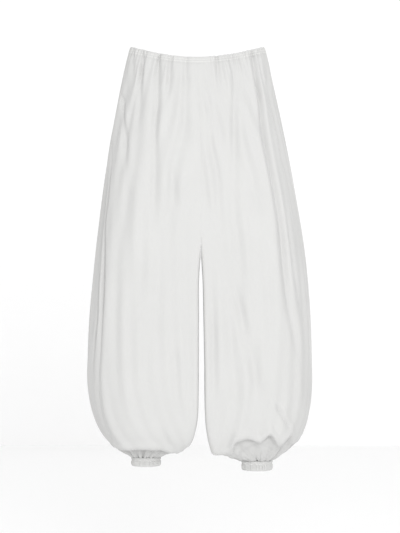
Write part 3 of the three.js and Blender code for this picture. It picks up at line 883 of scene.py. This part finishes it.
def cotton(name, colour, painted_shade, thread_mm, crumple_mm, crumple, roughness):
    """Plain-woven white cotton, matt, with a fine weave and the small crumples of thin worn cloth.

    The eye gets a soft matt white with a faint sheen at grazing angles and no highlights. Its darker tone is
    a
    painted shade: a greyer copy of the colour, mixed in by a noise texture in soft clouds.
    """
    material = bpy.data.materials.new(name)
    material.use_nodes = True
    tree = material.node_tree
    tree.nodes.clear()
    place = node(tree, "ShaderNodeTexCoord")
    # At scale 1 a wave texture has a band every 2 pi / 20 metres.
    threads = 2 * math.pi * 1000 / thread_mm / 20
    warp, weft = (
        node(tree, "ShaderNodeTexWave", {"bands_direction": way, "Scale": threads, "Distortion": 0.4},
             {"Vector": place.outputs["UV"]})
        for way in ("X", "Y"))
    weave = node(tree, "ShaderNodeMath", {"operation": "MULTIPLY"},
                 {0: warp.outputs["Fac"], 1: weft.outputs["Fac"]})
    creases = node(tree, "ShaderNodeTexNoise",
                   {"Scale": 1000 / crumple_mm, "Detail": 4.0, "Roughness": 0.55, "Distortion": 0.35},
                   {"Vector": place.outputs["Object"]})
    clouds = node(tree, "ShaderNodeTexNoise", {"Scale": 1000 / CLOUDS_MM, "Detail": 3.0},
                  {"Vector": place.outputs["Object"]})
    # Painted shade: the greyer copy of the colour is mixed in wherever the noise clouds are low, not where
    # the cloth really folds.
    tone = node(tree, "ShaderNodeMix", {"data_type": "RGBA", "A": (*painted_shade, 1), "B": (*colour, 1)},
                {"Factor": clouds.outputs["Fac"]})
    crumpled = node(tree, "ShaderNodeBump", {"Strength": crumple, "Distance": CRUMPLE_DEPTH},
                    {"Height": creases.outputs["Fac"]})
    woven = node(tree, "ShaderNodeBump", {"Strength": WEAVE_STRENGTH, "Distance": WEAVE_DEPTH},
                 {"Height": weave.outputs["Value"], "Normal": crumpled.outputs["Normal"]})
    cloth = node(tree, "ShaderNodeBsdfPrincipled", {
        "Roughness": roughness, "IOR": 1.46, "Sheen Weight": 0.25, "Sheen Roughness": 0.45,
        "Specular IOR Level": 0.3}, {"Base Color": tone.outputs["Result"], "Normal": woven.outputs["Normal"]})
    node(tree, "ShaderNodeOutputMaterial", links={"Surface": cloth.outputs["BSDF"]})
    return material


def get_material(name, colours):
    """The cloth or thread of that name, made once."""
    if name in bpy.data.materials:
        return bpy.data.materials[name]
    # Each cotton gets its own colour and a darker painted shade colour, which it mixes in as soft clouds.
    if name == "cotton_voile":
        # Cotton voile, plain-woven and washed. Its threads are 0.35 mm apart, but drawn 1.4 mm apart to show.
        return cotton(name, colours.cloth, colours.cloth_painted_shade, 1.4, 16, 0.35, 0.9)
    if name == "cotton_casing":
        # The same cotton, doubled round the elastic. It looks a little denser and is crumpled more finely.
        return cotton(name, colours.cloth, colours.casing_hollows, 1.2, 7, 0.4, 0.9)
    # Spun cotton sewing thread, slightly glossier than the cloth, with its twist 0.8 mm apart.
    return cotton(name, colours.thread, colours.thread_painted_shade, 0.8, 3, 0.2, 0.75)


def finish_piece(piece, material, slot, *nodes):
    """Gives a piece its material and its place on the frame, and hides the solids that it stands for."""
    piece.data.materials.clear()
    piece.data.materials.append(material)
    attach(piece, "root")
    if nodes:
        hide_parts(*nodes)


# Settings

class TrouserSizes(bpy.types.PropertyGroup):
    """Sizes of the cloth, its gathers and the detail that it is drawn with."""
    cloth: FloatProperty(
        name="Cloth Thickness", description="Thickness of the drawn cloth",
        default=0.0008, min=0.0002, max=0.002, unit="LENGTH", precision=4)
    allowance: FloatProperty(
        name="Seam Allowance", description="Cloth turned in behind each seam",
        default=0.005, min=0.001, max=0.012, unit="LENGTH", precision=4)
    columns: IntProperty(name="Columns", description="Faces across each panel", default=160, min=20, max=200)
    above_rows: IntProperty(
        name="Rows Above", description="Faces down each panel to the crotch", default=88, min=20, max=160)
    below_rows: IntProperty(
        name="Rows Below", description="Faces from the crotch to the widest line",
        default=58, min=10, max=120)
    foot_rows: IntProperty(
        name="Foot Rows", description="Faces from the widest line to the cuff", default=80, min=10, max=120)
    waist_gathers: IntProperty(
        name="Waist Gathers", description="Small gathers at the waist of each panel",
        default=24, min=0, max=60)
    ankle_gathers: IntProperty(
        name="Ankle Gathers", description="Small gathers at the ankle of each panel",
        default=17, min=0, max=40)
    drape: FloatProperty(
        name="Drape", description="Size of the low swells down the cloth",
        default=0.0018, min=0, max=0.005, unit="LENGTH", precision=4)
    band_columns: IntProperty(
        name="Band Columns", description="Faces round the waist casing", default=1000, min=80, max=1600)
    waist_band_gathers: IntProperty(
        name="Casing Gathers", description="Gathers round the waist casing", default=92, min=10, max=200)
    casing_wall: FloatProperty(
        name="Casing Wall", description="Thickness of the folded casings",
        default=0.0022, min=0.0008, max=0.003, unit="LENGTH", precision=4)
    casing_lap: FloatProperty(
        name="Casing Lap", description="How far the casing's hem laps over the panels",
        default=0.0016, min=0, max=0.004, unit="LENGTH", precision=4)
    cuff_columns: IntProperty(
        name="Cuff Columns", description="Faces round each cuff", default=480, min=60, max=800)
    cuff_gathers: IntProperty(
        name="Cuff Gathers", description="Gathers round each cuff", default=34, min=8, max=80)
    cuff_rim: FloatProperty(
        name="Cuff Rim", description="Height of the rolled rim above the casing",
        default=0.0075, min=0.002, max=0.012, unit="LENGTH", precision=4)


def colour_setting(name, description, code):
    """A colour that a user can change, from the sRGB hex code of its default."""
    return FloatVectorProperty(
        name=name, description=description, subtype="COLOR", size=3, default=linear(code)[:3], min=0, max=1)


class TrouserColours(bpy.types.PropertyGroup):
    """Colours of the cloth and the thread, and the painted shade mixed into each."""
    cloth: colour_setting("Cloth", "Colour of the cotton", "#B6B6B5")
    # Painted shade: a darker copy of the cloth colour, mixed into the cotton as soft clouds.
    cloth_painted_shade: colour_setting("Cloth Painted Shade", "Colour of the cotton's darker clouds", "#B2B2B1")
    # Painted shade on the casings, mixed in the same way.
    casing_hollows: colour_setting("Casing Painted Shade", "The same on the casings", "#B1B1B0")
    thread: colour_setting("Thread", "Colour of the sewing thread", "#E2E2DE")
    # Painted shade on the thread, mixed in the same way.
    thread_painted_shade: colour_setting("Thread Painted Shade", "Colour of the thread's darker clouds", "#DADAD6")


class StudioLook(bpy.types.PropertyGroup):
    """The floor, the light and the camera."""
    floor: colour_setting("Floor Colour", "Colour of the floor and backdrop", "#F9F9F9")
    overhead: FloatProperty(
        name="Overhead Light", description="Power of the soft light above", default=4.0, min=0, unit="POWER")
    front: FloatProperty(
        name="Front Light", description="Power of the soft light in front",
        default=121.0, min=0, unit="POWER")
    sky: FloatProperty(
        name="Surround", description="Brightness of the white surroundings", default=0.99, min=0)
    distance: FloatProperty(
        name="Camera Distance", description="From the camera to the garment",
        default=4.0, min=1, max=20, unit="LENGTH")
    lens: FloatProperty(
        name="Lens", description="Focal length", default=112.6, min=20, max=300, unit="CAMERA")


# Operators

class TROUSERS_OT_panels(bpy.types.Operator):
    """Make the two fronts and two backs of gathered cotton"""
    bl_idname = "trousers.panels"
    bl_label = "Make Panels"

    def execute(self, context):
        sizes = context.scene.trouser_sizes
        voile = get_material("cotton_voile", context.scene.trouser_colours)
        for leg in LEGS:
            for face in FACES:
                surface, normals, crotch_row, seam_column = panel_surface(leg, face, sizes)
                outer = turned_in(surface, normals, sizes.allowance / MM)
                # The seam allowance adds two rows and two columns before the crotch row and the seam column.
                crotch_row, seam_column = crotch_row + 2, seam_column + 2
                behind = panel_outward(outer, crotch_row, seam_column, leg, face)
                inner = outer - behind * sizes.cloth / MM
                piece = sheet_mesh(f"{face.name}_{leg.name}_cloth", outer, inner, crotch_row, seam_column)
                normals_out(piece)
                finish_piece(piece, voile, "cotton", f"{face.name}_{leg.name}")
        return {"FINISHED"}


class TROUSERS_OT_bands(bpy.types.Operator):
    """Make the waist casing and the two ankle cuffs"""
    bl_idname = "trousers.bands"
    bl_label = "Make Casing and Cuffs"

    def execute(self, context):
        sizes = context.scene.trouser_sizes
        doubled = get_material("cotton_casing", context.scene.trouser_colours)
        casing = band_mesh("waistband_casing", waistband_rings(sizes))
        finish_piece(casing, doubled, "elastic_casing", "waistband")
        for leg in LEGS:
            cuff = band_mesh(f"cuff_{leg.name}_casing", cuff_rings(leg, sizes))
            finish_piece(cuff, doubled, "elastic_casing", f"cuff_{leg.name}")
        return {"FINISHED"}


class TROUSERS_OT_stitching(bpy.types.Operator):
    """Sew the stitch rows on the waist casing and the cuffs"""
    bl_idname = "trousers.stitching"
    bl_label = "Sew Stitching"

    def execute(self, context):
        sizes = context.scene.trouser_sizes
        thread = get_material("sewing_thread", context.scene.trouser_colours)
        rings = waistband_rings(sizes)
        step = (CASING_HEIGHT + sizes.casing_lap / MM) / (CASING_ROWS - 1)
        waist = stitches("waistband_stitching", [rings[round(below / step)] for below in WAIST_STITCHES])
        finish_piece(waist, thread, "elastic_casing")
        for leg in LEGS:
            rings = cuff_rings(leg, sizes)
            step = (leg.cuff_top - SEAM_GAP - leg.cuff_foot) / (CUFF_ROWS - 1)
            sewn = stitches(f"cuff_{leg.name}_stitching", [rings[round(sizes.cuff_rim / MM / step)]])
            finish_piece(sewn, thread, "elastic_casing")
        return {"FINISHED"}


class Lamp(NamedTuple):
    """A soft light, by the name of the setting with its power: its size and place in metres, and its tilt."""
    name: str
    size: tuple
    place: tuple
    tilt: tuple


LAMPS = (
    Lamp("overhead", (2.4, 1.6), (0.0, -0.4, 1.9), (-0.15, 0.0, 0.0)),
    Lamp("front", (1.4, 1.2), (0.5, -4.3, 0.3), (1.388, 0.0, 0.116)),
)
FLOOR_Z, ROOM_HALF, ROOM_TOP = -1600.0, 6000.0, 5000.0
CAMERA_X, CAMERA_Z = 0.0072, -0.524
SENSOR = 36


class TROUSERS_OT_stage(bpy.types.Operator):
    """Set the pale floor, the soft light and the camera"""
    bl_idname = "trousers.stage"
    bl_label = "Set Stage"

    def execute(self, context):
        scene, look = context.scene, context.scene.studio_look
        corners = [(x * ROOM_HALF, y * ROOM_HALF, FLOOR_Z) for x, y in ((-1, -1), (1, -1), (1, 1), (-1, 1))]
        corners += [(ROOM_HALF, ROOM_HALF, ROOM_TOP), (-ROOM_HALF, ROOM_HALF, ROOM_TOP)]
        floor = make_mesh("floor", corners, [(0, 1, 2, 3), (3, 2, 4, 5)])
        # Matt white studio paper: an even surface with no shine.
        paper = bpy.data.materials.new("studio_paper")
        paper.use_nodes = True
        shader = paper.node_tree.nodes["Principled BSDF"]
        shader.inputs["Base Color"].default_value = (*look.floor, 1)
        shader.inputs["Roughness"].default_value = 0.95
        shader.inputs["Specular IOR Level"].default_value = 0.1
        floor.data.materials.append(paper)
        world = bpy.data.worlds.new("studio")
        world.use_nodes = True
        surround = world.node_tree.nodes["Background"]
        surround.inputs["Color"].default_value = (1, 1, 1, 1)
        surround.inputs["Strength"].default_value = look.sky
        scene.world = world
        for lamp in LAMPS:
            light = bpy.data.lights.new(lamp.name, "AREA")
            light.shape, light.energy = "RECTANGLE", getattr(look, lamp.name)
            light.size, light.size_y = lamp.size
            placed = bpy.data.objects.new(lamp.name, light)
            placed.location, placed.rotation_euler = lamp.place, lamp.tilt
            scene.collection.objects.link(placed)
        camera = bpy.data.objects.new("camera", bpy.data.cameras.new("camera"))
        camera.data.lens, camera.data.sensor_width = look.lens, SENSOR
        camera.location = (CAMERA_X, -look.distance, CAMERA_Z)
        camera.rotation_euler = (math.pi / 2, 0, 0)
        scene.collection.objects.link(camera)
        scene.camera = camera
        scene.view_settings.view_transform = "Standard"
        return {"FINISHED"}


class TROUSERS_PT_panel(bpy.types.Panel):
    """The trousers' settings and steps in the 3D view's sidebar"""
    bl_idname = "TROUSERS_PT_panel"
    bl_label = "Balloon Trousers"
    bl_space_type = "VIEW_3D"
    bl_region_type = "UI"
    bl_category = "Trousers"

    def draw(self, context):
        layout = self.layout
        for group in SETTINGS:
            settings = getattr(context.scene, group)
            for name in settings.__annotations__:
                layout.prop(settings, name)
        for operator in OPERATORS:
            layout.operator(operator.bl_idname)


SETTINGS = {"trouser_sizes": TrouserSizes, "trouser_colours": TrouserColours, "studio_look": StudioLook}
OPERATORS = (TROUSERS_OT_panels, TROUSERS_OT_bands, TROUSERS_OT_stitching, TROUSERS_OT_stage)
CLASSES = (*SETTINGS.values(), *OPERATORS, TROUSERS_PT_panel)


def register():
    for cls in CLASSES:
        bpy.utils.register_class(cls)
    for name, group in SETTINGS.items():
        setattr(bpy.types.Scene, name, PointerProperty(type=group))


def unregister():
    for name in SETTINGS:
        delattr(bpy.types.Scene, name)
    for cls in reversed(CLASSES):
        bpy.utils.unregister_class(cls)


def main():
    register()
    bpy.ops.trousers.panels()
    bpy.ops.trousers.bands()
    bpy.ops.trousers.stitching()
    bpy.ops.trousers.stage()


if __name__ == "__main__":
    main()
